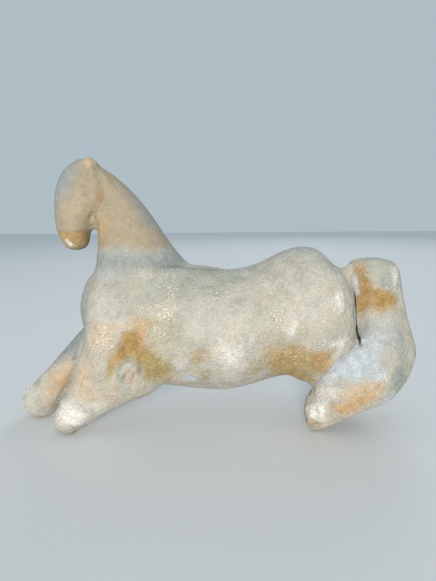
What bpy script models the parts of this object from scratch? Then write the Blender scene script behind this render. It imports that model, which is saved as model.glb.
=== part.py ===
"""A crouching clay horse, modelled in the round as a hand builder would make it.

Rolls and balls of clay are laid on each other, pressed into one body and smoothed over.
The horse faces -X and stands on four worn feet at z = 0. Its origin is the middle of its footprint.
"""

import math

import bmesh
import bpy
from mathutils import Vector

# Overall length of the horse, from the far forefoot to the hock, in metres.
LENGTH = 0.300

# The pose is drawn in millimetres on a horse 300 mm long, and this turns it into metres.
DRAWN_LENGTH = 300.0
UNIT = LENGTH / DRAWN_LENGTH

# Fineness of the clay: cells along the horse for pressing the rolls together, smoothing passes, final facets.
PRESS_CELLS = 136
SMOOTH_PASSES = 10
FACETS = 8000

# Points round a roll and steps between two ribs.
ROUND_POINTS = 24
RIB_STEPS = 4
CAP_ANGLES = (30, 55, 75)

CLAY_COLOUR = (0.72, 0.62, 0.47, 1.0)
CLAY_ROUGHNESS = 0.9

# Each rib is (first edge x, z, second edge x, z, sideways middle y, half width), in drawn millimetres.
# A roll's edges are its outline seen from the side.
BARREL = [
    (-91, 114.5, -93.5, 74, 0, 24),
    (-74, 118.5, -84, 55, 0, 33),
    (-48, 120.5, -58, 37, 0, 38),
    (-15, 121.5, -18, 30, 0, 40.5),
    (8, 117.6, 8, 29.3, 0, 41),
    (30, 122.4, 30, 35, 0, 39.5),
    (50, 132.5, 50, 40, 0, 39),
    (69, 133.5, 67, 39, 0, 37),
    (84, 120.5, 81, 46, 0, 30),
]
NECK = [
    (-8, 98, -94, 88, 0, 34),
    (-12, 113, -92, 104, 0, 31),
    (-24, 125, -87.5, 122, 0, 27),
    (-35, 139, -85.3, 138, 0, 21.5),
    (-46, 156.5, -85, 150, 0, 17),
    (-57.5, 171.5, -88, 160, 0, 14),
    (-71, 184.3, -94, 170, 0, 12.5),
    (-81, 190.5, -100, 178, 0, 11.5),
]
HEAD = [
    (-104, 190.5, -86.5, 191.5, 0, 11.5),
    (-109, 184.5, -79, 184, 0, 14.5),
    (-113, 175, -77, 172.5, 0, 16.5),
    (-114.6, 161, -84.5, 160, 0, 16),
    (-114.3, 148, -89.6, 147, 0, 13.5),
    (-110.8, 139.5, -91, 138.5, 0, 11.3),
]
NEAR_FORELEG = [
    (-90, 88, -52, 66, -18, 20),
    (-94.5, 70, -41.5, 38, -20, 18.5),
    (-99.5, 57, -57, 28, -19, 16),
    (-104, 44, -73, 20, -18, 14.5),
    (-111.5, 30.5, -87, 11.8, -16.5, 13),
    (-119.5, 16, -101.5, 3.8, -14, 12),
]
FAR_FORELEG = [
    (-94, 82, -62, 52, 15, 17),
    (-109, 66.5, -86, 43, 14.5, 14.5),
    (-122.5, 52, -101, 32, 14, 13),
    (-137, 36, -116, 18, 13.5, 12.5),
    (-150.5, 23.5, -130.5, 2.4, 13, 12),
]
NEAR_HIND_LEG_AND_TAIL = [
    (66.5, 27.5, 70, -1.9, -13, 10.5),
    (68.5, 34, 77, 1.2, -14.5, 11.5),
    (73.5, 44, 86, 7.5, -18, 13),
    (82, 57, 100, 16.5, -21, 15),
    (94, 66.5, 119.5, 22.5, -18, 16),
    (101.5, 77, 137, 38, -11, 16.5),
    (101.5, 88, 144.3, 58, -6, 15.5),
    (100, 97, 138.8, 77, -3, 14.5),
    (98, 105.5, 134, 98, -2, 13),
    (95.2, 114, 132, 111, -2, 12.5),
    (92.8, 121, 129.5, 119.5, -2, 11.5),
]
FAR_HIND_LEG = [
    (78, 25, 82, -2, 15, 10),
    (80, 31, 88, 1.2, 15.5, 11),
    (85, 41, 97, 7.5, 17, 12.5),
    (93, 52, 110, 15, 17, 14.5),
    (103, 64, 124, 26, 13, 15),
    (108, 76, 136, 44, 8, 15),
]
NEAR_EAR = [(-93.5, 187, -81, 187, -6.5, 5), (-91.8, 194, -82.6, 193.5, -6.5, 4.6)]
FAR_EAR = [(-92, 186, -81, 186, 6.5, 4.5), (-90, 192, -82.5, 191.5, 6.5, 3.9)]

# Rolls with the lengths of their rounded ends.
ROLLS = [
    (BARREL, 5, 11),
    (NECK, 6, 4),
    (HEAD, 3, 6),
    (NEAR_FORELEG, 6, 11.2),
    (FAR_FORELEG, 6, 13.8),
    (NEAR_HIND_LEG_AND_TAIL, 6, 6),
    (FAR_HIND_LEG, 6, 6),
    (NEAR_EAR, 3, 3.5),
    (FAR_EAR, 3, 4.5),
]

# Balls of clay that fill the form out: middle and radii, in drawn millimetres.
BALLS = [
    ((-69.5, -12.5, 84), (25.5, 25, 38)),
    ((-69.5, 12.5, 84), (25.5, 25, 38)),
    ((66, -18, 84), (30, 25, 43)),
    ((66, 18, 84), (30, 25, 43)),
    ((67, -15, 62), (26, 20, 24)),
    ((67, 15, 62), (26, 20, 24)),
    ((97, 0, 79), (14, 12, 27)),
    ((90, 0, 100), (15, 10, 18)),
]


def between(before, here, after, beyond, t):
    """A value between here and after on a smooth curve through all four."""
    slope_here = (after - before) / 2
    slope_after = (beyond - here) / 2
    rise = after - here
    return (
        here
        + slope_here * t
        + (3 * rise - 2 * slope_here - slope_after) * t**2
        + (slope_here + slope_after - 2 * rise) * t**3
    )


def smooth_ribs(ribs):
    """The ribs with more put in between them, on smooth curves."""
    found = []
    last = len(ribs) - 1
    for i in range(last):
        near = [ribs[max(0, i - 1)], ribs[i], ribs[i + 1], ribs[min(last, i + 2)]]
        for step in range(RIB_STEPS):
            t = step / RIB_STEPS
            found.append([between(*values, t) for values in zip(*near)])
    found.append(list(ribs[last]))
    return found


def rib_frame(rib):
    """Middle, half edge-to-edge vector and half width of a rib, in metres."""
    first = Vector((rib[0], rib[4], rib[1])) * UNIT
    second = Vector((rib[2], rib[4], rib[3])) * UNIT
    return (first + second) / 2, (first - second) / 2, rib[5] * UNIT


def add_ring(clay, middle, half_edge, half_width):
    """One ring of points of a roll."""
    ring = []
    for i in range(ROUND_POINTS):
        angle = math.tau * i / ROUND_POINTS
        side = Vector((0, half_width * math.sin(angle), 0))
        ring.append(clay.verts.new(middle + half_edge * math.cos(angle) + side))
    return ring


def cap_rings(clay, rib, outwards, length):
    """The rings and the last point of a roll's rounded end."""
    middle, half_edge, half_width = rib_frame(rib)
    along = half_edge.cross(Vector((0, 1, 0))).normalized()
    if along.dot(outwards) < 0:
        along = -along
    along *= length * UNIT
    rings = []
    for degrees in CAP_ANGLES:
        angle = math.radians(degrees)
        shrink = math.cos(angle)
        place = middle + along * math.sin(angle)
        rings.append(add_ring(clay, place, half_edge * shrink, half_width * shrink))
    return rings, clay.verts.new(middle + along)


def add_roll(clay, ribs, start_cap, end_cap):
    """A closed roll of clay through the ribs, with rounded ends."""
    ribs = smooth_ribs(ribs)
    middles = [rib_frame(rib)[0] for rib in ribs]
    start_rings, start_tip = cap_rings(clay, ribs[0], middles[0] - middles[1], start_cap)
    end_rings, end_tip = cap_rings(clay, ribs[-1], middles[-1] - middles[-2], end_cap)
    rings = start_rings[::-1] + [add_ring(clay, *rib_frame(rib)) for rib in ribs] + end_rings
    faces = []
    for one, other in zip(rings, rings[1:]):
        for i in range(ROUND_POINTS):
            j = (i + 1) % ROUND_POINTS
            faces.append(clay.faces.new((one[i], one[j], other[j], other[i])))
    for ring, tip in ((rings[0], start_tip), (rings[-1], end_tip)):
        for i in range(ROUND_POINTS):
            faces.append(clay.faces.new((ring[i], ring[(i + 1) % ROUND_POINTS], tip)))
    bmesh.ops.recalc_face_normals(clay, faces=faces)


def add_ball(clay, middle, radii):
    """A ball of clay, squeezed to its three radii."""
    made = bmesh.ops.create_uvsphere(clay, u_segments=ROUND_POINTS, v_segments=12, radius=1)
    for vert in made["verts"]:
        vert.co = Vector([m + c * r for m, c, r in zip(middle, vert.co, radii)]) * UNIT


def clay_mesh():
    """All rolls and balls, still separate, in one mesh."""
    clay = bmesh.new()
    for ribs, start_cap, end_cap in ROLLS:
        add_roll(clay, ribs, start_cap, end_cap)
    for middle, radii in BALLS:
        add_ball(clay, middle, radii)
    mesh = bpy.data.meshes.new("clay")
    clay.to_mesh(mesh)
    clay.free()
    return mesh


def evaluated_mesh(obj):
    """A new mesh with the object's modifiers worked in."""
    graph = bpy.context.evaluated_depsgraph_get()
    return bpy.data.meshes.new_from_object(obj.evaluated_get(graph), depsgraph=graph)


def new_object(name, mesh):
    obj = bpy.data.objects.new(name, mesh)
    bpy.context.scene.collection.objects.link(obj)
    return obj


def press_together(mesh):
    """The separate rolls pressed into one skin, smoothed over."""
    obj = new_object("pressing", mesh)
    press = obj.modifiers.new("press", "REMESH")
    press.mode = "VOXEL"
    press.voxel_size = LENGTH / PRESS_CELLS
    rub = obj.modifiers.new("rub", "SMOOTH")
    rub.factor = 0.5
    rub.iterations = SMOOTH_PASSES
    pressed = evaluated_mesh(obj)
    bpy.data.objects.remove(obj)
    return pressed


def facet(mesh):
    """The skin with only as many triangles as its shape needs."""
    mesh.calc_loop_triangles()
    obj = new_object("faceting", mesh)
    thin = obj.modifiers.new("thin", "DECIMATE")
    thin.ratio = min(1.0, FACETS / len(mesh.loop_triangles))
    thinned = evaluated_mesh(obj)
    bpy.data.objects.remove(obj)
    return thinned


def wear_feet(mesh):
    """The feet cut flat at z = 0, where they stand."""
    obj = new_object("wearing", mesh)
    slab = bmesh.new()
    bmesh.ops.create_cube(slab, size=2 * LENGTH)
    bmesh.ops.translate(slab, verts=slab.verts, vec=(0, 0, -LENGTH))
    slab_mesh = bpy.data.meshes.new("table")
    slab.to_mesh(slab_mesh)
    slab.free()
    table = new_object("table", slab_mesh)
    cut = obj.modifiers.new("wear", "BOOLEAN")
    cut.operation = "DIFFERENCE"
    cut.solver = "EXACT"
    cut.object = table
    worn = evaluated_mesh(obj)
    bpy.data.objects.remove(obj)
    bpy.data.objects.remove(table)
    return worn


def centre_footprint(mesh):
    """Moves the mesh so that its origin is the middle of its footprint."""
    xs = [vert.co.x for vert in mesh.vertices]
    ys = [vert.co.y for vert in mesh.vertices]
    for vert in mesh.vertices:
        vert.co.x -= (min(xs) + max(xs)) / 2
        vert.co.y -= (min(ys) + max(ys)) / 2


def clay_material():
    material = bpy.data.materials.new("fired_clay")
    material.use_nodes = True
    shader = material.node_tree.nodes["Principled BSDF"]
    shader.inputs["Base Color"].default_value = CLAY_COLOUR
    shader.inputs["Roughness"].default_value = CLAY_ROUGHNESS
    shader.inputs["Metallic"].default_value = 0.0
    return material


def main():
    for obj in list(bpy.data.objects):
        bpy.data.objects.remove(obj)
    skin = facet(press_together(clay_mesh()))
    skin = wear_feet(skin)
    centre_footprint(skin)
    skin.materials.clear()
    skin.materials.append(clay_material())
    skin.shade_smooth()
    new_object("horse", skin)


main()
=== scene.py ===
import math

import bpy
import numpy as np
from mathutils import Matrix, Vector, kdtree, noise


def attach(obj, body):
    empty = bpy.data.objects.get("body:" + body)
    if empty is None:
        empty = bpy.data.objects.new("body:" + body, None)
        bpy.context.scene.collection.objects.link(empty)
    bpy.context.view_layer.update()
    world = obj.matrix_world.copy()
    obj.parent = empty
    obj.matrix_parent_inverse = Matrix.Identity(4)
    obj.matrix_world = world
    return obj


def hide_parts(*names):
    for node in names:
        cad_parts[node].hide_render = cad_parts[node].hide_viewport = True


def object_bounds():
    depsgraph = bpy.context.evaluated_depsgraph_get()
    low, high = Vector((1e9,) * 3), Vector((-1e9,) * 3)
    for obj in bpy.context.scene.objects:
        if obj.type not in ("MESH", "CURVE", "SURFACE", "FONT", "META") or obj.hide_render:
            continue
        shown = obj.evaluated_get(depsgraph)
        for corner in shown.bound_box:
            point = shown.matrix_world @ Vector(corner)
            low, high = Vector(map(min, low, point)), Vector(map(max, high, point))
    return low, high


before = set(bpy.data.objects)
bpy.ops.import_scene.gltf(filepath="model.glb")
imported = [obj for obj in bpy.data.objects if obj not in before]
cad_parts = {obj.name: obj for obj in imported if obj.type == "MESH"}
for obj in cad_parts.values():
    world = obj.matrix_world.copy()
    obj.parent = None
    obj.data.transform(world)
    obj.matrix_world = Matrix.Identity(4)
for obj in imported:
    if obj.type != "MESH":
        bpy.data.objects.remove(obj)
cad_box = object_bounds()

MM = 0.001

# Places and sizes below are in millimetres, in the model's own frame: the horse looks towards -X,
# and the side that the photograph shows is its left one, towards -Y.
NEAR = -1
FAR = 1

# The clay's skin: corners closer than the gap are one, facets are softened, the cells give its fineness
# and rubbing takes their steps away.
WELD_GAP = 0.01
SOFTEN_LEVELS = 2
SKIN_CELL = 1.2
RUB_PASSES = 6
RUB_FACTOR = 0.5

# The skin starts this much inside the solid, so that few of its marks reach out of the solid's box.
SKIN_INSET = 0.12

# Unevenness left by the hands and the grain: width of the lumps and their height.
UNEVEN = ((30, 0.50), (12, 0.30), (5.5, 0.17), (3, 0.10))

# Small hollows all over, where grit and fibres fell out, and grit that stands out.
PIT_COUNT = 1500
PIT_RADII = (1.1, 2.6)
PIT_DEPTHS = (0.10, 0.38)
GRIT_COUNT = 900
GRIT_RADII = (1.1, 1.9)
GRIT_HEIGHTS = (0.10, 0.28)

# Seeds of everything that chance places.
UNEVEN_SEED = 1
PIT_SEED = 11
GRIT_SEED = 12
WANDER_SEED = 21
MUZZLE_SEED = 41
FOOT_SEED = 51

# How far one step of a seed moves the noise, in widths of its lumps.
SEED_SHIFT = (17.31, 5.77, 29.13)

# A place faces a side, from not at all to fully, as its normal turns towards that side.
FACING = (-0.25, 0.2)

# Lines that run over the skin.
CHEEK_CREASE = ((-72.0, -12.0, 181.0), (-73.8, -12.3, 175.6), (-72.6, -12.7, 171.7), (-74.1, -12.7, 167.7),
                (-77.8, -10.5, 161.1), (-81.6, -6.2, 155.7))
NECK_SEAM = ((-77.0, -9.0, 131.0), (-71.3, -18.3, 129.7), (-63.6, -22.8, 128.7), (-55.3, -24.2, 130.1),
             (-46.8, -22.8, 132.6), (-37.3, -19.0, 132.9), (-29.3, -11.6, 132.8), (-23.7, 3.6, 130.0))
WITHERS_FOLD = ((-31.0, -21.0, 122.6), (-28.6, -20.5, 122.8), (-19.8, -12.7, 121.8), (-7.5, -8.5, 119.8),
                (3.0, -6.0, 118.2))
FORELEG_CREASE = ((-86.8, -23.8, 82.4), (-100.4, 3.3, 60.8), (-102.6, 1.5, 52.1), (-103.8, 1.3, 43.5),
                  (-109.5, 2.4, 31.2), (-116.8, 3.7, 20.3), (-122.8, 5.7, 10.5))
ARMPIT_TROUGH = ((-41.5, -36.5, 90.7), (-44.2, -37.7, 83.0), (-51.2, -36.9, 73.3), (-57.4, -36.8, 67.8),
                 (-63.3, -38.3, 62.2), (-67.1, -37.8, 55.1), (-70.6, -36.0, 46.8))
ELBOW_RING = ((-62.4, -38.2, 50.0), (-62.4, -38.2, 54.5), (-59.6, -38.0, 58.6), (-55.1, -36.6, 61.5),
              (-49.5, -34.8, 60.9), (-47.1, -33.7, 56.3), (-47.5, -34.0, 51.5))
ELBOW_CURL = ((-60.5, -37.8, 45.5), (-58.0, -37.6, 51.0), (-54.5, -37.2, 55.0), (-51.5, -36.0, 52.0),
              (-53.0, -36.3, 47.5))
RUMP_CREVICE = ((101.9, -8.7, 103.0), (102.9, -8.9, 97.5), (103.2, -10.6, 89.2), (103.4, -12.7, 78.7),
                (103.4, -16.2, 71.6), (103.0, -22.4, 67.7))
TAIL_STRIP = ((102.0, -4.5, 118.5), (102.4, -7.5, 112.0), (102.8, -8.9, 106.0), (104.0, -9.2, 101.0))
TAIL_EDGE = ((100.1, -3.0, 121.5), (100.1, -6.2, 117.2), (100.2, -8.2, 108.9), (101.9, -8.7, 103.0))
HIND_LEG_EDGE = ((103.0, -22.4, 67.7), (100.2, -22.9, 66.4), (94.4, -28.6, 65.4), (86.1, -34.7, 61.8),
                 (80.6, -33.9, 54.6), (75.4, -28.2, 44.7), (73.6, -15.6, 34.5))
FOOT_NOTCH = ((-86.5, -24.0, 14.5), (-85.2, -21.3, 11.7), (-84.0, -16.0, 9.5))

# Grooves: line, depth, width.
GROOVES = ((CHEEK_CREASE, 2.2, 1.9), (NECK_SEAM, 0.3, 1.8), (WITHERS_FOLD, 0.35, 2.2),
           (FORELEG_CREASE, 0.6, 1.6), (ARMPIT_TROUGH, 1.2, 4.2), (ELBOW_RING, 1.0, 1.6),
           (ELBOW_CURL, 0.8, 1.5), (RUMP_CREVICE, 1.8, 1.4), (TAIL_EDGE, 0.8, 1.4),
           (HIND_LEG_EDGE, 1.4, 1.6), (FOOT_NOTCH, 0.9, 1.6))

# Steps: line, height, how far the raised side runs, and which side of the line is raised, for somebody
# who follows it on the near side. A step rises across its slope, and stays at full height over a share
# of its reach.
STEP_SLOPE = (-0.3, 1.1)
STEP_CREST = 0.25
RIGHT_OF_LINE = 1
LEFT_OF_LINE = -1
STEPS = ((HIND_LEG_EDGE, 2.0, 8.0, RIGHT_OF_LINE), (NECK_SEAM, 0.15, 8.0, LEFT_OF_LINE),
         (CHEEK_CREASE, 1.1, 8.0, LEFT_OF_LINE), (TAIL_EDGE, 0.9, 7.0, RIGHT_OF_LINE))

# Knobs and hollows: middle, radius, height.
MUZZLE_KNOBS = (
    ((-97.0, 0.0, 134.0), 16.0, 1.6), ((-97.4, -9.5, 137.4), 3.4, -0.9),
    ((-94.6, -10.0, 136.6), 2.6, -0.7),
)
EAR_KNOBS = (
    ((-81.8, -8.7, 194.9), 3.0, 0.6), ((-84.5, -10.0, 192.6), 2.4, 0.6),
    ((-79.6, -10.6, 188.2), 2.4, 0.8), ((-77.2, -10.3, 185.0), 2.3, 0.7),
    ((-82.6, -12.6, 184.8), 2.3, 0.5), ((-79.5, -12.2, 182.2), 2.3, 0.5),
    ((-77.6, -5.0, 192.6), 3.0, 1.2), ((-89.0, -5.5, 193.0), 3.2, 1.3),
    ((-80.5, -9.3, 190.9), 2.6, 1.5), ((-84.5, -9.6, 187.6), 2.4, 1.0),
    ((-79.1, -10.4, 186.3), 2.6, 1.4), ((-78.0, -11.6, 182.3), 2.5, 1.1),
)
CHEEK_KNOBS = (
    ((-78.2, -9.4, 158.4), 3.0, 1.3), ((-76.1, -11.5, 161.8), 2.4, 0.9),
    ((-83.2, -14.8, 174.9), 2.6, -0.7), ((-84.6, -15.3, 171.9), 2.4, 0.6),
)
ELBOW_BOSS = (
    ((-53.8, -37.2, 54.4), 6.5, 0.9),
)
FORELEG_KNOBS = (
    ((-101.9, -26.4, 26.3), 3.4, 0.7), ((-96.5, -28.8, 21.5), 3.0, -0.5),
    ((-91.5, -28.8, 17.5), 3.0, 0.6), ((-85.5, -30.5, 25.0), 3.2, 0.5),
    ((-102.6, 1.5, 52.1), 2.4, -0.6),
)
BELLY_PIT = (
    ((17.8, -40.4, 73.8), 1.9, -0.5),
)
HAUNCH_KNOBS = (
    ((83.8, -37.6, 101.9), 3.4, 0.5), ((81.5, -39.7, 96.5), 2.8, 0.4),
    ((86.4, -34.4, 106.5), 2.8, 0.4), ((80.9, -40.4, 73.2), 2.8, 0.5),
    ((88.1, -36.2, 70.0), 3.0, 0.5), ((75.3, -41.7, 75.0), 2.2, 0.4),
    ((82.0, -39.0, 73.0), 2.4, 0.4),
)
HIND_FOOT_KNOBS = (
    ((73.8, -22.5, 23.5), 3.2, 0.6), ((72.0, -21.5, 15.5), 3.0, 0.6),
)
KNOBS = (MUZZLE_KNOBS + EAR_KNOBS + CHEEK_KNOBS + ELBOW_BOSS + FORELEG_KNOBS + BELLY_PIT + HAUNCH_KNOBS
         + HIND_FOOT_KNOBS)

# The feet are rough with knobs: middle and reach, fully rough over a share of it, and the knobs' widths
# and heights.
ROUGH_FEET = (((-104, -14, 16), 26), ((-136, 13, 16), 18), ((74, -13, 16), 19), ((86, 15, 14), 17))
ROUGH_CORE = 0.6
FOOT_KNOBS = ((4.4, 1.0), (2.8, 0.7))

# A stain fades out from and to these shares of its half size, and its outline wanders: width and reach.
STAIN_EDGE = (0.2, 1.5)
WANDER = ((9, 3.4), (3.2, 1.5))

# Stains, painted shade and painted highlights on the side that shows: middle x and z, half sizes, lean
# from X towards Z in degrees, strength.
NEAR_STAINS_AND_PAINTED_LIGHT = {
    "pink": (
        (-96, 160, 9, 15, 0, 0.3), (-84, 160, 11, 15, 0, 0.45), (-80, 192, 5, 4, 0, 0.7),
        (-59, 141, 13, 7, 0, 0.15), (-73, 79, 14, 12, 0, 0.8), (-57, 86, 8, 6, 0, 0.6),
        (-54, 50, 6, 6, 0, 0.9), (-64, 44, 6, 10, -20, 0.5), (-89, 40, 10, 14, 0, 0.85),
        (-83, 56, 9, 16, 0, 0.6), (-74, 36, 12, 8, 30, 0.5), (-112, 38, 15, 9, 45, 1.0),
        (-124, 22, 9, 8, 20, 0.9), (-29, 50, 5, 4, 0, 0.6), (-13, 54, 8, 4, 0, 0.5),
        (61, 73, 5, 4, 0, 0.5), (73, 95, 9, 16, 0, 0.1), (31, 117, 9, 5, 0, 0.2),
        (119, 91, 8, 4, 0, 0.6), (132, 52, 6, 7, 0, 0.4), (78, 33, 9, 6, 10, 0.5),
        (102, 36, 17, 10, 18, 0.9), (113, 42, 7, 6, 0, 0.4), (-55, 96, 6, 8, 0, 0.25),
        (-108, 44, 4, 10, 35, 0.5),
    ),
    "olive": (
        (-68, 54, 4, 9, -20, 0.9), (-54, 74, 7, 7, 0, 0.6), (-41, 63, 8, 10, 0, 0.8),
        (-36, 53, 13, 10, 0, 1.0), (-62, 38, 14, 3, 25, 0.3), (-33, 82, 17, 18, 0, 0.45),
        (-20, 58, 8, 6, 0, 0.25), (27, 54, 7, 7, 0, 0.5), (45, 70, 13, 7, 0, 0.5),
        (55, 57, 24, 14, 0, 0.8), (129, 99, 4, 5, 0, 0.6), (125, 107, 6, 5, 0, 0.3),
        (103, 122, 7, 4, 0, 0.35), (-10, 47, 16, 4, 0, 0.4), (56, 84, 18, 8, 0, 0.25),
        (-50, 66, 7, 6, 0, 0.5), (-48, 139, 22, 6, 0, 0.3),
    ),
    "green": (
        (-20, 111, 17, 8, -5, 0.6), (-3, 110, 8, 7, 0, 0.5), (-61, 50, 4, 8, 0, 0.35),
        (-53, 58, 8, 4, 0, 0.2), (67, 78, 6, 6, 0, 0.15), (64, 133, 17, 3, 0, 0.5),
        (52, 128, 10, 3, 15, 0.3), (79, 126, 6, 6, 0, 0.4), (15, 114, 9, 4, 0, 0.5),
        (8, 108, 12, 6, 0, 0.4), (132, 67, 5, 13, 0, 0.3), (-73, 45, 5, 8, 0, 0.2),
        (-104, 12, 5, 4, 0, 0.5), (-92, 12, 4, 3, 0, 0.5), (-44, 134, 10, 6, 0, 0.4),
        (116, 120, 14, 6, 0, 0.6), (127, 108, 6, 8, 0, 0.5), (130, 44, 8, 11, 0, 0.8),
        (-50, 108, 24, 12, 0, 0.5), (-60, 47, 4, 6, 0, 0.3),
    ),
    # Most of the blue lies where the skin turns away from the light, as painted shade: the forehead, the
    # neck's back, the chest, the far foreleg's top edge, the back's top, the croup's rear and the tail's
    # right edge.
    "blue": (
        (-100, 184, 14, 18, 0, 0.85), (-106, 168, 5, 20, 0, 0.7), (-44, 157, 24, 5, -52, 0.6),
        (-70, 122, 12, 9, 0, 0.3), (-91, 98, 10, 28, 0, 0.85), (-106, 62, 24, 7, 48, 1.0),
        (-137, 27, 6, 9, 0, 0.4), (34, 53, 6, 6, 0, 0.3), (96, 92, 4, 28, 0, 0.5),
        (3, 118, 16, 3.5, 0, 0.5), (108, 76, 7, 11, 0, 0.5), (121, 73, 12, 12, 0, 0.4),
        (133, 67, 6, 16, 0, 0.5), (132, 44, 8, 14, 0, 0.6), (126, 112, 9, 10, 0, 0.6),
        (34, 124, 12, 4, 20, 0.4), (66, 134, 22, 4, 0, 0.3), (-30, 124, 8, 4, 0, 0.4),
        (110, 122, 12, 3, 0, 0.3),
    ),
    "frost_and_highlight": (
        (-70, 118, 11, 8, 0, 0.5), (-15, 46, 5.5, 4, 0, 0.9), (-20, 57, 6, 3, 0, 0.5),
        (110, 68, 13, 8, 0, 0.75), (100, 57, 16, 11, 35, 1.1), (85, 51, 9, 6, 42, 0.9),
        (113, 50, 8, 7, 0, 0.8), (121, 76, 12, 10, 0, 0.45), (123, 31, 8, 4, 40, 0.8),
        (36, 49, 4, 4, 0, 0.5), (80, 44, 5, 6, 0, 0.5), (64, 130, 22, 6, 0, 0.35),
        (20, 118, 20, 5, 0, 0.3), (112, 46, 14, 9, 30, 0.1),
    ),
    "ochre_and_shade": (
        # This first patch, and the ochre line along the cheek's crease, are painted shade in the crease.
        (-75, 168, 4, 9, 15, 0.35), (-51, 75, 8, 8, 0, 0.95), (-59, 67, 13, 8, 48, 0.9),
        (-46, 68, 7, 8, 0, 0.7), (-64, 61, 8, 4, 50, 0.45), (-43, 62, 7, 8, 0, 0.55),
        (-42, 45, 11, 6, 10, 0.3), (-32, 47, 6, 7, 0, 0.5), (-8, 65, 8, 7, 0, 0.6),
        (-4, 51, 8, 5, 0, 0.5), (43, 60, 12, 11, 0, 0.5), (57, 63, 17, 10, 0, 0.55),
        (59, 50, 19, 8, -5, 0.5), (73, 60, 9, 9, 0, 0.7), (60, 44, 20, 6, -8, 0.7),
        (107, 104, 8, 18, 0, 0.9), (119, 98, 14, 8, -15, 1.0), (106, 90, 5, 7, 0, 0.9),
        (119, 90, 9, 5, 0, 0.4), (70, 10, 11, 4, -20, 0.75), (-122, 14, 4, 4, 0, 0.5),
    ),
    "orange": (
        (-75, 150, 2.5, 11, 0, 0.7), (-71, 175, 6, 7, 0, 0.3), (-92, 172, 7, 12, 0, 0.2),
        (-46, 83, 7, 11, 0, 0.75), (-59, 67, 8, 5, 48, 0.3), (-39, 58, 2, 3, 0, 0.5),
        (38, 66, 6, 7, 0, 0.4), (74, 61, 8, 8, 0, 0.7), (105, 119, 5, 6, 0, 0.7),
        (90, 23, 8, 5, 0, 0.8), (99, 28, 14, 7, 22, 0.7), (110, 38, 12, 8, 25, 0.5),
        (-111, 31, 11, 6, 42, 0.85), (-70, 148, 4, 12, 0, 0.4),
    ),
    "lime_and_highlight": (
        (12, 66, 15, 14, 0, 0.5), (14, 64, 8, 9, 0, 0.4), (28, 79, 2.5, 6, 0, 0.5),
        (52, 84, 4, 8, 0, 0.6), (-20, 61, 6, 4, 0, 0.5), (-99, 19, 16, 11, 10, 1.0),
        (-88, 36, 9, 8, 0, 0.3), (74, 18, 10, 9, 0, 1.0), (-98, 137.6, 3.4, 1.8, -15, 1.0),
        # The lime on the haunch's two knobs and at the tail's top corner is a painted highlight.
        (85, 72, 7, 4, 0, 0.8), (84, 102, 5, 7, 0, 0.8), (-141, 22, 9, 10, 0, 0.5),
        (-76, 28, 10, 5, 25, 0.5), (80, 34, 9, 8, 0, 0.7), (128, 113, 4, 8, 0, 0.6),
        (-31, 92, 5, 5, 0, 0.25), (2, 88, 26, 15, 0, 0.4), (62, 98, 28, 24, 0, 0.35),
        (-66, 92, 14, 14, 0, 0.35), (118, 22, 20, 5, 30, 0.4),
    ),
    # Dark marks in small hollows, in a pit and along edges: mostly painted shade, and some dirt.
    "dirt_and_shade": (
        (-103, 52, 2, 2, 0, 0.6), (18, 74, 1.5, 1.5, 0, 0.7), (66, 134, 15, 2, 0, 0.15),
        (-60.5, 47.5, 2, 4, 0, 0.3), (-113, 62, 24, 4.5, 50, 0.6), (132, 44, 5, 14, 0, 0.1),
    ),
    "flecks": (
        (-29, 108, 10, 11, 0, 0.7), (-30, 94, 7, 7, 0, 1.0), (-33, 82, 10, 9, 0, 0.7),
        (-72, 74, 12, 10, 0, 0.9), (8, 104, 12, 7, 0, 0.6), (44, 91, 7, 9, 0, 0.9),
        (40, 110, 7, 7, 0, 0.6), (28, 76, 3, 7, 0, 0.8), (12, 66, 12, 12, 0, 0.5),
        # The flecks crowded on the haunch's knobs and at the tail's top corner are painted highlights as
        # well.
        (84, 102, 5, 8, 0, 1.0), (85, 72, 7, 5, 0, 1.0), (75, 75, 2, 3, 0, 1.0),
        (128, 112, 6, 9, 0, 1.0), (113, 46, 10, 9, 0, 0.8), (52, 60, 20, 11, 0, 0.45),
        (100, 22, 16, 6, 20, 0.7), (-88, 200, 8, 6, 0, 0.5), (-96, 22, 16, 10, 0, 0.5),
    ),
}

# The far side, which the photograph doesn't show, has plainer stains of the same kinds.
FAR_STAINS_AND_PAINTED_SHADE = {
    "pink": ((-68, 82, 14, 10, 0, 0.7), (-92, 158, 8, 14, 0, 0.6), (60, 98, 12, 16, 0, 0.5),
             (-96, 40, 12, 16, 30, 0.7), (104, 34, 14, 9, 15, 0.6)),
    "olive": ((-46, 52, 10, 8, 0, 0.7), (30, 52, 9, 6, 0, 0.6)),
    "green": ((-14, 108, 14, 8, 0, 0.5), (62, 128, 16, 5, 0, 0.6)),
    # The far side's blue repeats the near side's painted shade along the edges.
    "blue": ((-106, 62, 26, 9, 48, 0.6), (112, 74, 12, 14, 0, 0.6), (-88, 100, 9, 24, 0, 0.4),
             (-98, 182, 12, 12, 0, 0.7), (66, 133, 22, 5, 0, 0.4), (131, 60, 9, 20, 0, 0.6)),
    "ochre_and_shade": ((-56, 68, 8, 5, 40, 0.8), (58, 56, 18, 9, 0, 0.8), (-8, 56, 9, 7, 0, 0.5),
              (116, 100, 10, 9, 20, 0.7)),
    "orange": ((96, 30, 9, 5, 15, 0.5), (-118, 30, 9, 5, 40, 0.5)),
    "frost_and_highlight": ((112, 56, 12, 9, 30, 0.7), (-16, 46, 8, 5, 0, 0.5)),
    "lime_and_highlight": ((16, 70, 11, 9, 0, 0.5), (-134, 16, 9, 10, 0, 0.9), (84, 16, 9, 9, 0, 0.9),
             (-100, 16, 10, 8, 0, 0.6)),
    "dirt_and_shade": (),
    "flecks": ((-30, 94, 12, 12, 0, 0.6), (40, 92, 14, 12, 0, 0.6), (90, 80, 8, 14, 0, 0.5)),
}

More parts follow.
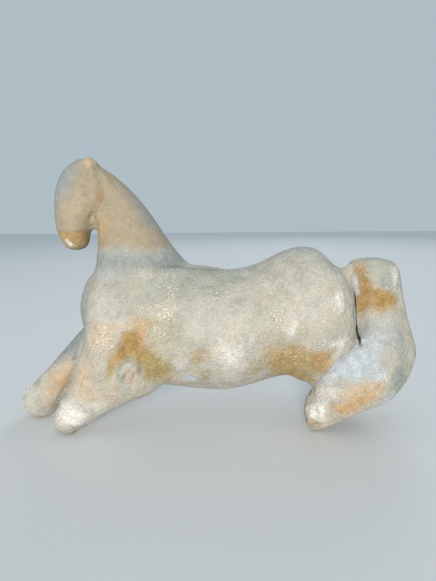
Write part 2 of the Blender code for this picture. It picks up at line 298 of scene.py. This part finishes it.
# The head and neck are a tanner clay than the body, and a bluish bloom lies under the neck's seam. The
# borders are heights over the seam, and places along X over the withers, where the seam ends.
NECK_LINE_HEIGHT = 131.0
NECK_LINE_END = (-24.0, -12.0)
TAN_STRENGTH = 0.9
TAN_BORDER = (-6, 8)
BLOOM_STRENGTH = 0.8
BLOOM_LOW_BORDER = (-20.0, -2.0)
BLOOM_HIGH_BORDER = (-6, 11)

# The head and neck were rubbed smooth, so their grain is weaker than the body's.
SMOOTH_GRAIN = 0.45
GRAIN_BORDER = (-5, 5)

# The tip of the muzzle has lost its pale coat, below a level line that waves a little: width and height.
MUZZLE_LINE_HEIGHT = 146.4
MUZZLE_LINE_EDGE = (-0.8, 0.6)
MUZZLE_LINE_WAVE = (6, 0.5)
MUZZLE_BACK = (-84.0, -81.0)
MUZZLE_UNDERSIDE = (120, 126)
BARE_STRENGTH = 0.75
CHIP_DEPTH = 0.15
RIM_HEIGHT = 0.25
RIM_WIDTH = 1.2

# Colours along lines: stain, line, width, strength. The dark lines in the creases and grooves are mostly
# painted shade, with some dirt; the ochre in the cheek's crease and the blue along the foreleg's crease
# are painted shade, and the frost along the tail's strip is a painted highlight.
LINES_OF_STAIN_AND_SHADE = (("dirt_and_shade", WITHERS_FOLD, 2.6, 0.5), ("dirt_and_shade", CHEEK_CREASE, 1.1, 0.45),
                 ("dirt_and_shade", ELBOW_RING, 0.9, 0.45), ("dirt_and_shade", ELBOW_CURL, 0.9, 0.35),
                 ("dirt_and_shade", FOOT_NOTCH, 1.2, 0.3),
                 ("green", WITHERS_FOLD, 4.5, 0.6), ("green", ELBOW_RING, 1.8, 0.6),
                 ("green", ELBOW_CURL, 1.6, 0.3), ("ochre_and_shade", CHEEK_CREASE, 2.4, 0.35),
                 ("blue", FORELEG_CREASE, 2.4, 0.5), ("frost_and_highlight", HIND_LEG_EDGE, 3.0, 0.6),
                 ("frost_and_highlight", TAIL_STRIP, 1.8, 0.95))

# The border between the body and the tail with its hind leg: stains on one side of it stay there.
HIND_BORDER = TAIL_EDGE + RUMP_CREVICE[1:] + HIND_LEG_EDGE[1:]
BORDER_EDGE = 0.4
BORDER_REACH = (9.0, 15.0)

# The gap between croup and tail is darkened with painted shade: half its width, and how it fades out at
# its edge, top and foot and away from the line.
GAP_LINE = RUMP_CREVICE
GAP_HALF_WIDTH = 0.35
GAP_EDGE = 0.4
GAP_TOP = (100.5, 104.0)
GAP_FOOT = (66.0, 69.5)
GAP_REACH = (1.5, 3.5)


# Numbers.

def fade(value, low, high):
    """From 0 at low to 1 at high, with soft ends."""
    part = np.clip((value - low) / (high - low), 0, 1)
    return part * part * (3 - 2 * part)


def lumps(places, width, seed):
    """Smooth noise between -1 and 1, with lumps about as wide as width."""
    shift = seed * np.array(SEED_SHIFT)
    return np.array([noise.noise(point) for point in (places / width + shift).tolist()])


def nearest_on_line(places, line):
    """How far each place is from the line, its way from the nearest point, and the line's direction."""
    points = np.array(line)
    best = np.full(len(places), np.inf)
    way = np.zeros_like(places)
    heading = np.zeros_like(places)
    for start, end in zip(points[:-1], points[1:]):
        run = end - start
        along = np.clip((places - start) @ run / (run @ run), 0, 1)
        offset = places - (start + along[:, None] * run)
        distance = np.linalg.norm(offset, axis=1)
        closer = distance < best
        best[closer] = distance[closer]
        way[closer] = offset[closer]
        heading[closer] = run / np.linalg.norm(run)
    return best, way, heading


def to_the_right(way, heading):
    """How far each place is to the right of a line that is followed on the near side."""
    return heading[:, 2] * way[:, 0] - heading[:, 0] * way[:, 2]


def facing(normals, side):
    """1 where the skin faces that side, and 0 where it faces the other."""
    return fade(normals[:, 1] * side, *FACING)


# The skin of the horse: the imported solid, smoothed and made fine enough to carry marks.

def evaluated_mesh(obj):
    graph = bpy.context.evaluated_depsgraph_get()
    return bpy.data.meshes.new_from_object(obj.evaluated_get(graph), depsgraph=graph)


def link(name, data):
    obj = bpy.data.objects.new(name, data)
    bpy.context.scene.collection.objects.link(obj)
    return obj


def fine_skin(node):
    """A fine, even mesh over the solid, with its facets smoothed away."""
    rough = link("rough_skin", node.data.copy())
    weld = rough.modifiers.new("weld", "WELD")
    weld.merge_threshold = WELD_GAP * MM
    soften = rough.modifiers.new("soften", "SUBSURF")
    soften.levels = SOFTEN_LEVELS
    soften.render_levels = SOFTEN_LEVELS
    even = rough.modifiers.new("even", "REMESH")
    even.mode = "VOXEL"
    even.voxel_size = SKIN_CELL * MM
    rub = rough.modifiers.new("rub", "SMOOTH")
    rub.factor = RUB_FACTOR
    rub.iterations = RUB_PASSES
    mesh = evaluated_mesh(rough)
    bpy.data.objects.remove(rough)
    return mesh


def mesh_arrays(mesh):
    """Vertex places in millimetres, and normals."""
    count = len(mesh.vertices)
    places = np.zeros(count * 3, np.float32)
    mesh.vertices.foreach_get("co", places)
    normals = np.zeros(count * 3, np.float32)
    mesh.vertex_normals.foreach_get("vector", normals)
    return places.reshape(-1, 3).astype(float) / MM, normals.reshape(-1, 3).astype(float)


def set_places(mesh, places):
    mesh.vertices.foreach_set("co", (places * MM).astype(np.float32).ravel())
    mesh.update()


# Relief: how far the skin stands out or lies in at each place.

def groove(places, line, depth, width):
    distance = nearest_on_line(places, line)[0]
    return -depth * np.exp(-(distance / width) ** 2)


def step(places, line, height, reach, side):
    """A raised lip on one side of the line, seen from the near side, that dies away over reach."""
    distance, way, heading = nearest_on_line(places, line)
    across = to_the_right(way, heading) * side
    return height * fade(across, *STEP_SLOPE) * (1 - fade(distance, STEP_CREST * reach, reach))


def knob(places, middle, radius, height):
    distance = np.linalg.norm(places - np.array(middle), axis=1)
    return height * np.clip(1 - (distance / radius) ** 2, 0, 1) ** 2


def scattered(places, count, radii, heights, seed):
    """Small round dents or bumps in chance places."""
    dice = np.random.default_rng(seed)
    tree = kdtree.KDTree(len(places))
    for index, place in enumerate(places.tolist()):
        tree.insert(place, index)
    tree.balance()
    relief = np.zeros(len(places))
    for index in dice.integers(0, len(places), count).tolist():
        radius = dice.uniform(*radii)
        height = dice.uniform(*heights)
        for _, near, distance in tree.find_range(places[index].tolist(), radius):
            relief[near] += height * (1 - (distance / radius) ** 2)
    return relief


def before_withers(places):
    """1 in front of the place where the neck's seam ends, and 0 behind it."""
    return 1 - fade(places[:, 0], *NECK_LINE_END)


def head_and_neck(places):
    """1 on the head and neck and 0 on the body, with a soft border along the neck's seam."""
    return before_withers(places) * fade(places[:, 2] - NECK_LINE_HEIGHT, *GRAIN_BORDER)


def on_muzzle(places):
    """1 in front of the muzzle's back, and 0 behind it."""
    return 1 - fade(places[:, 0], *MUZZLE_BACK)


def bare_muzzle(places):
    """1 on the tip of the muzzle, where the coat is gone."""
    width, height = MUZZLE_LINE_WAVE
    uneven_line = MUZZLE_LINE_HEIGHT + height * lumps(places, width, MUZZLE_SEED)
    bare = 1 - fade(places[:, 2] - uneven_line, *MUZZLE_LINE_EDGE)
    return bare * on_muzzle(places) * fade(places[:, 2], *MUZZLE_UNDERSIDE)


def muzzle_relief(places):
    """The coat ends in a raised rim, and the bare tip lies a little deeper."""
    rim = np.exp(-((places[:, 2] - MUZZLE_LINE_HEIGHT - RIM_WIDTH) / RIM_WIDTH) ** 2)
    return RIM_HEIGHT * rim * on_muzzle(places) - CHIP_DEPTH * bare_muzzle(places)


def foot_relief(places):
    rough = np.zeros(len(places))
    for middle, reach in ROUGH_FEET:
        away = np.linalg.norm(places - np.array(middle), axis=1)
        rough = np.maximum(rough, 1 - fade(away, ROUGH_CORE * reach, reach))
    knobs = np.zeros(len(places))
    for order, (width, height) in enumerate(FOOT_KNOBS):
        knobs += height * lumps(places, width, FOOT_SEED + order)
    return rough * knobs


def skin_relief(places, normals):
    near = facing(normals, NEAR)
    grain = 1 - (1 - SMOOTH_GRAIN) * head_and_neck(places)
    relief = np.full(len(places), -SKIN_INSET)
    for order, (width, height) in enumerate(UNEVEN):
        relief += height * grain * lumps(places, width, UNEVEN_SEED + order)
    relief -= grain * scattered(places, PIT_COUNT, PIT_RADII, PIT_DEPTHS, PIT_SEED)
    relief += grain * scattered(places, GRIT_COUNT, GRIT_RADII, GRIT_HEIGHTS, GRIT_SEED)
    for line, depth, width in GROOVES:
        relief += near * groove(places, line, depth, width)
    for line, height, reach, side in STEPS:
        relief += near * step(places, line, height, reach, side)
    for middle, radius, height in KNOBS:
        relief += knob(places, middle, radius, height)
    return relief + muzzle_relief(places) + foot_relief(places)


# Stains, painted shade and painted highlights: how strongly each colour shows at each place.

def patch(places, middle_x, middle_z, half_x, half_z, lean, strength):
    turn = math.radians(lean)
    away_x = places[:, 0] - middle_x
    away_z = places[:, 2] - middle_z
    along = away_x * math.cos(turn) + away_z * math.sin(turn)
    across = away_z * math.cos(turn) - away_x * math.sin(turn)
    reach = np.hypot(along / half_x, across / half_z)
    return strength * (1 - fade(reach, *STAIN_EDGE))


def join(stain, more):
    """Two coats of one colour, never more than full strength."""
    return 1 - (1 - stain) * (1 - more)


def wandering(places):
    """The places, shifted a little this way and that, so that stains get ragged edges."""
    shift = np.zeros_like(places)
    for order, (width, reach) in enumerate(WANDER):
        for axis in range(3):
            shift[:, axis] += reach * lumps(places, width, WANDER_SEED + 10 * order + axis)
    return places + shift


def seen_side(middles, line):
    """How far each place is to the right of the line, both seen from the near side, and how far off."""
    flat = np.array((1, 0, 1))
    distance, way, heading = nearest_on_line(middles * flat, np.array(line) * flat)
    return to_the_right(way, heading), distance


def own_side(border, row):
    """1 on the row's own side of the hind border and 0 across it, where the border is near."""
    across, distance = border
    home = seen_side(np.array([[row[0], 0.0, row[1]]]), HIND_BORDER)[0][0]
    kept = fade(across * math.copysign(1, home), -BORDER_EDGE, BORDER_EDGE)
    return 1 - (1 - kept) * (1 - fade(distance, *BORDER_REACH))


def patches_and_lines(places, ragged, normals):
    """Every colour of stain, painted shade and painted highlight, from its patches on both sides and from
    its lines.
    """
    border = seen_side(places, HIND_BORDER)
    maps = {}
    for name in NEAR_STAINS_AND_PAINTED_LIGHT:
        stain = np.zeros(len(places))
        for side, stains in ((NEAR, NEAR_STAINS_AND_PAINTED_LIGHT), (FAR, FAR_STAINS_AND_PAINTED_SHADE)):
            shown = facing(normals, side)
            for row in stains[name]:
                kept = own_side(border, row) if side == NEAR else 1
                stain = join(stain, shown * kept * patch(ragged, *row))
        maps[name] = stain
    for name, line, width, strength in LINES_OF_STAIN_AND_SHADE:
        distance = nearest_on_line(places, line)[0]
        maps[name] = join(maps[name], strength * np.exp(-(distance / width) ** 2))
    return maps


def neck_maps(places, ragged):
    """The tan of head and neck, and the bloom under the neck's seam."""
    above = ragged[:, 2] - NECK_LINE_HEIGHT
    front = before_withers(places)
    bloom = front * fade(above, *BLOOM_LOW_BORDER) * (1 - fade(above, *BLOOM_HIGH_BORDER))
    return TAN_STRENGTH * front * fade(above, *TAN_BORDER), BLOOM_STRENGTH * bloom


def gap_shade_maps(places, normals):
    """How far each place is to the right of the gap's line, and where the gap's painted shade may show."""
    distance, way, heading = nearest_on_line(places, GAP_LINE)
    across = to_the_right(way, heading)
    ends = fade(places[:, 2], *GAP_FOOT) * (1 - fade(places[:, 2], *GAP_TOP))
    return across, facing(normals, NEAR) * ends * (1 - fade(distance, *GAP_REACH))


def stain_and_shade_maps(places, normals):
    ragged = wandering(places)
    maps = patches_and_lines(places, ragged, normals)
    maps["tan"], bloom = neck_maps(places, ragged)
    maps["blue"] = join(maps["blue"], bloom)
    maps["ochre_and_shade"] = join(maps["ochre_and_shade"], BARE_STRENGTH * bare_muzzle(places))
    maps["grain"] = 1 - (1 - SMOOTH_GRAIN) * head_and_neck(places)
    maps["gap_side"], maps["gap"] = gap_shade_maps(places, normals)
    return maps


skin = fine_skin(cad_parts["horse"])
places, normals = mesh_arrays(skin)
for name, stain in stain_and_shade_maps(places, normals).items():
    attribute = skin.attributes.new(name, "FLOAT", "POINT")
    attribute.data.foreach_set("value", stain.astype(np.float32))
places = places + normals * skin_relief(places, normals)[:, None]
low, high = np.array(cad_box[0]) / MM, np.array(cad_box[1]) / MM
places = np.clip(places, low, high)
set_places(skin, places)
skin.shade_smooth()
print("skin vertices", len(places), "faces", len(skin.polygons))


# The clay's material.

def screen_colour(red, green, blue):
    """A colour as a screen shows it, 0 to 255, in the linear values that a shader takes."""
    def linear(value):
        value /= 255
        return value / 12.92 if value <= 0.04045 else ((value + 0.055) / 1.055) ** 2.4
    return (linear(red), linear(green), linear(blue), 1)


# Each colour of stain has a lighter and a darker shade, and how ragged it is. The later ones lie over
# the earlier ones. Some run in streaks, by how much along X, Y and Z, leaning from X towards Z in degrees.
PALE_CLAY = (screen_colour(199, 198, 186), screen_colour(180, 179, 167))
WARM_CLAY = screen_colour(197, 187, 167)
STAIN_SHADES = {
    "tan": (screen_colour(168, 155, 131), screen_colour(157, 145, 122), 0.3),
    "pink": (screen_colour(216, 195, 168), screen_colour(198, 177, 150), 1.0),
    "green": (screen_colour(167, 178, 166), screen_colour(153, 163, 152), 0.6),
    "olive": (screen_colour(184, 168, 116), screen_colour(164, 147, 97), 1.0),
    "orange": (screen_colour(212, 175, 126), screen_colour(192, 156, 108), 1.0),
    # Ochre stains, the bare tip of the muzzle, and painted shade in the cheek's crease.
    "ochre_and_shade": (screen_colour(184, 153, 97), screen_colour(160, 128, 72), 1.0),
    # Blue: mostly painted shade along edges that turn away from the light, and the bloom under the neck's
    # seam.
    "blue": (screen_colour(151, 162, 163), screen_colour(141, 151, 152), 0.3),
    # Bluish-white clay, and a painted highlight in the strip down the tail's left edge.
    "frost_and_highlight": (screen_colour(206, 214, 221), screen_colour(186, 199, 207), 0.5),
    # White lime, and painted highlights on the haunch's knobs and the tail's top corner.
    "lime_and_highlight": (screen_colour(246, 245, 240), screen_colour(220, 218, 212), 0.8),
    # The dark colour of hollows, creases and edges: mostly painted shade, and some dirt.
    "dirt_and_shade": (screen_colour(110, 110, 94), screen_colour(74, 72, 60), 0.8),
}
STREAKS = {"lime_and_highlight": ((1, 1, 3.5), 0), "orange": ((3.5, 1, 1), 22), "pink": ((2.5, 1, 1), 22)}
BRIGHT_FLECK = screen_colour(242, 234, 214)
# How much brighter the grit is: the grit's own paleness and a painted glint on the grains.
GRIT_AND_GLINT_GAIN = (1.34, 1.33, 1.30, 1)
# Painted shade in the grain's hollows and in the pores.
PORE_SHADE = screen_colour(118, 108, 88)
# Painted shade in the gap between croup and tail.
GAP_SHADE_COLOUR = screen_colour(62, 54, 48)

# Widths of the clay's noises in millimetres, from broad clouds to single grains.
WARMTH_WIDTH = 18
MOTTLE_WIDTH = 11
SHADE_WIDTH = 5
COARSE_WIDTH = 4.5
STAIN_EDGE_WIDTH = 2.6
PORE_WIDTH = 1.7
SPECK_WIDTH = 1.3
GRAIN_WIDTH = 1.2

# How the noises show: the values between which they turn, and for some their strength at either one.
MOTTLE_TURN = (0.32, 0.68)
WARMTH_TURN = (0.45, 0.75, 0, 0.5)
SHADE_TURN = (0.36, 0.64)
HOLLOW_TURN = (0.33, 0.5, 0.24, 0)
PORE_TURN = (0.30, 0.24, 0, 0.2)
FLECK_TURN = (0.52, 0.70)
CREAMY_TURN = (0.58, 0.72, 0, 0.65)
FLECK_CROWDING = 0.09

# Lumps and grain break a stain's edge. The stain shows from its start, the later the more ragged it is.
GRAIN_IN_BREAKS = 0.6
BREAK_MIDDLE = 0.2
BREAK_REACH = 0.5
STAIN_START = 0.09
STAIN_FULL = 1.1

# The finish: how rough the clay is at least and at most, its gloss, how deep the grain is, and how high
# the lumps and flecks and how deep the pores are beside it.
ROUGHNESS = (0.78, 0.94)
ROUGHNESS_TURN = (0.3, 0.7)
GLOSS = 0.3
GRAIN_DEPTH = 1.2
LUMP_SHARE = 1.2
FLECK_SHARE = 0.3
PORE_SHARE = 0.9

# The colour sockets of Blender's mix node.
MIX_FIRST = 6
MIX_SECOND = 7
MIX_RESULT = 2


class Shading:
    """Short calls for the nodes of one material."""

    def __init__(self, name):
        self.material = bpy.data.materials.new(name)
        self.material.use_nodes = True
        self.tree = self.material.node_tree
        self.shader = self.tree.nodes["Principled BSDF"]
        self.place = self.node("ShaderNodeTexCoord").outputs["Object"]

    def node(self, kind, **settings):
        made = self.tree.nodes.new(kind)
        for key, value in settings.items():
            setattr(made, key, value)
        return made

    def feed(self, socket, value):
        if isinstance(value, bpy.types.NodeSocket):
            self.tree.links.new(value, socket)
        else:
            socket.default_value = value

    def noise(self, width, detail=3.0, shift=0.0, stretch=(1, 1, 1), lean=0):
        """Smooth noise from 0 to 1, with lumps about width millimetres wide, stretched and leaning."""
        mapping = self.node("ShaderNodeMapping", vector_type="TEXTURE")
        self.feed(mapping.inputs["Vector"], self.place)
        mapping.inputs["Location"].default_value = (shift, 2 * shift, -shift)
        mapping.inputs["Rotation"].default_value = (0, -math.radians(lean), 0)
        mapping.inputs["Scale"].default_value = stretch
        texture = self.node("ShaderNodeTexNoise")
        self.feed(texture.inputs["Vector"], mapping.outputs["Vector"])
        texture.inputs["Scale"].default_value = 1 / (width * MM)
        texture.inputs["Detail"].default_value = detail
        return texture.outputs["Fac"]

    def ramp(self, value, low, high, start=0.0, end=1.0):
        """From start at low to end at high, held beyond them."""
        node = self.node("ShaderNodeMapRange", interpolation_type="SMOOTHSTEP")
        for name, number in zip(("Value", "From Min", "From Max", "To Min", "To Max"),
                                (value, low, high, start, end)):
            self.feed(node.inputs[name], number)
        return node.outputs["Result"]

    def calculate(self, operation, first, second):
        node = self.node("ShaderNodeMath", operation=operation)
        self.feed(node.inputs[0], first)
        self.feed(node.inputs[1], second)
        return node.outputs["Value"]

    def mix(self, factor, first, second, blend="MIX"):
        node = self.node("ShaderNodeMix", data_type="RGBA", blend_type=blend)
        self.feed(node.inputs["Factor"], factor)
        self.feed(node.inputs[MIX_FIRST], first)
        self.feed(node.inputs[MIX_SECOND], second)
        return node.outputs[MIX_RESULT]

    def stain(self, name):
        return self.node("ShaderNodeAttribute", attribute_name=name).outputs["Fac"]


def ground_colour(clay, mottle):
    """Two pale shades in a mottle, warmer in broad clouds."""
    colour = clay.mix(clay.ramp(mottle, *MOTTLE_TURN), *PALE_CLAY)
    warmth = clay.ramp(clay.noise(WARMTH_WIDTH, 3, shift=0.3), *WARMTH_TURN)
    return clay.mix(warmth, colour, WARM_CLAY)


def stained_and_shaded(clay, colour, grain):
    """The stains, painted shade and painted highlights over the ground, each in two shades and with a
    broken edge.
    """
    for order, (name, (light, dark, ragged)) in enumerate(STAIN_SHADES.items()):
        cloudy = clay.noise(SHADE_WIDTH, 4, shift=0.1 * order)
        shade = clay.mix(clay.ramp(cloudy, *SHADE_TURN), light, dark)
        stretch, lean = STREAKS.get(name, ((1, 1, 1), 0))
        lumpy = clay.noise(STAIN_EDGE_WIDTH, 4, 0.7 + 0.1 * order, stretch, lean)
        breaks = clay.calculate("SUBTRACT", lumpy, clay.calculate("MULTIPLY", grain, GRAIN_IN_BREAKS))
        breaks = clay.calculate("SUBTRACT", breaks, BREAK_MIDDLE)
        breaks = clay.calculate("MULTIPLY", breaks, BREAK_REACH * ragged)
        shown = clay.calculate("ADD", clay.stain(name), breaks)
        colour = clay.mix(clay.ramp(shown, STAIN_START * ragged, STAIN_FULL), colour, shade)
    return colour


def with_pores(clay, colour, grain, strength):
    """Painted shade in the hollows between the grains and in scattered deeper pores."""
    hollow = clay.calculate("MULTIPLY", clay.ramp(grain, *HOLLOW_TURN), strength)
    colour = clay.mix(hollow, colour, PORE_SHADE)
    spots = clay.noise(PORE_WIDTH, 2, shift=0.5)
    pores = clay.calculate("MULTIPLY", clay.ramp(spots, *PORE_TURN), strength)
    return clay.mix(pores, colour, PORE_SHADE), pores


def with_flecks(clay, colour, strength):
    """Bright grit all over, brightened as a painted glint on the grains, more of it and creamier where the
    stain of flecks lies.
    """
    crowd = clay.stain("flecks")
    crowded = clay.calculate("MULTIPLY", crowd, FLECK_CROWDING)
    speck = clay.calculate("ADD", crowded, clay.noise(SPECK_WIDTH, 2, shift=0.9))
    flecks = clay.calculate("MULTIPLY", clay.ramp(speck, *FLECK_TURN), strength)
    colour = clay.mix(flecks, colour, GRIT_AND_GLINT_GAIN, "MULTIPLY")
    creamy = clay.calculate("MULTIPLY", clay.ramp(speck, *CREAMY_TURN), crowd)
    return clay.mix(creamy, colour, BRIGHT_FLECK), flecks


def with_gap_shade(clay, colour):
    """Painted shade: a dark line in the gap between croup and tail."""
    across = clay.calculate("ABSOLUTE", clay.stain("gap_side"), 0)
    gap = clay.ramp(across, GAP_HALF_WIDTH + GAP_EDGE, GAP_HALF_WIDTH, 0, 1)
    return clay.mix(clay.calculate("MULTIPLY", gap, clay.stain("gap")), colour, GAP_SHADE_COLOUR)


def grain_normal(clay, grain, flecks, pores, strength):
    """The clay's grain in relief: lumps and grains, with flecks standing out and pores lying in."""
    coarse = clay.noise(COARSE_WIDTH, 3, shift=0.4)
    height = clay.calculate("ADD", clay.calculate("MULTIPLY", coarse, LUMP_SHARE), grain)
    height = clay.calculate("ADD", height, clay.calculate("MULTIPLY", flecks, FLECK_SHARE))
    height = clay.calculate("SUBTRACT", height, clay.calculate("MULTIPLY", pores, PORE_SHARE))
    bump = clay.node("ShaderNodeBump")
    clay.feed(bump.inputs["Strength"], strength)
    bump.inputs["Distance"].default_value = GRAIN_DEPTH * MM
    clay.feed(bump.inputs["Height"], height)
    return bump.outputs["Normal"]


def clay_material():
    """Pale low-fired clay: a mottled ground, stains and painted shade over it, bright grit with a painted
    glint, painted shade in its pores and a matt grain.
    """
    clay = Shading("clay")
    mottle = clay.noise(MOTTLE_WIDTH, 4)
    grain = clay.noise(GRAIN_WIDTH, 3)
    strength = clay.stain("grain")
    colour = stained_and_shaded(clay, ground_colour(clay, mottle), grain)
    colour, pores = with_pores(clay, colour, grain, strength)
    colour, flecks = with_flecks(clay, colour, strength)
    clay.feed(clay.shader.inputs["Base Color"], with_gap_shade(clay, colour))
    clay.feed(clay.shader.inputs["Roughness"], clay.ramp(mottle, *ROUGHNESS_TURN, *ROUGHNESS))
    clay.shader.inputs["Specular IOR Level"].default_value = GLOSS
    clay.feed(clay.shader.inputs["Normal"], grain_normal(clay, grain, flecks, pores, strength))
    return clay.material


skin.materials.clear()
skin.materials.append(clay_material())
horse = link("clay_horse", skin)
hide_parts("horse")
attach(horse, "root")


# Room: a pale floor, soft studio lights and the photograph's camera, with places in metres.

FLOOR_HALF = 3
FLOOR_COLOUR = (0.74, 0.76, 0.77, 1)
FLOOR_ROUGHNESS = 0.9

# Lights: place, target, size, spread in degrees, power in watts, colour.
KEY_LIGHT = ((-0.40, -3.20, 0.93), (0, 0, 0.08), 1.0, 60, 10.8, (1, 0.89, 0.79))
BACK_LIGHT = ((0.7, 2.4, 1.5), (0, 0, 0.06), 1.8, 90, 4.5, (0.95, 0.97, 1))
SKY_COLOUR = (0.60, 0.71, 0.78, 1)
SKY_STRENGTH = 0.72

# The camera stands where the photograph was taken from: 10 degrees down and turned a little clockwise.
EYE = (0.0050, -0.326, 0.1596)
DOWN_ANGLE = 10
CLOCKWISE_ANGLE = 0.45
SENSOR_SIZE = 36
LENS = 28.19
NEAREST = 0.01


def floor_material():
    material = bpy.data.materials.new("floor")
    material.use_nodes = True
    shader = material.node_tree.nodes["Principled BSDF"]
    shader.inputs["Base Color"].default_value = FLOOR_COLOUR
    shader.inputs["Roughness"].default_value = FLOOR_ROUGHNESS
    return material


def pale_floor():
    half = FLOOR_HALF
    corners = [(-half, -half, 0), (half, -half, 0), (half, half, 0), (-half, half, 0)]
    mesh = bpy.data.meshes.new("floor")
    mesh.from_pydata(corners, [], [(0, 1, 2, 3)])
    mesh.materials.append(floor_material())
    return link("floor", mesh)


def area_light(name, place, target, size, spread, power, colour):
    data = bpy.data.lights.new(name, "AREA")
    data.shape = "DISK"
    data.size = size
    data.spread = math.radians(spread)
    data.energy = power
    data.color = colour
    lamp = link(name, data)
    lamp.location = place
    lamp.visible_camera = False
    lamp.rotation_euler = (Vector(target) - Vector(place)).to_track_quat("-Z", "Y").to_euler()


def sky():
    world = bpy.data.worlds.new("studio")
    world.use_nodes = True
    background = world.node_tree.nodes["Background"]
    background.inputs["Color"].default_value = SKY_COLOUR
    background.inputs["Strength"].default_value = SKY_STRENGTH
    return world


def photograph_camera():
    data = bpy.data.cameras.new("camera")
    data.sensor_width = SENSOR_SIZE
    data.lens = LENS
    data.clip_start = NEAREST
    camera = link("camera", data)
    camera.location = EYE
    tilt = Matrix.Rotation(math.radians(90 - DOWN_ANGLE), 3, "X")
    turn = Matrix.Rotation(math.radians(-CLOCKWISE_ANGLE), 3, "Z")
    camera.rotation_euler = (tilt @ turn).to_euler()
    return camera


pale_floor()
area_light("key", *KEY_LIGHT)
area_light("back", *BACK_LIGHT)
bpy.context.scene.world = sky()
bpy.context.scene.view_settings.view_transform = "Standard"
bpy.context.scene.camera = photograph_camera()
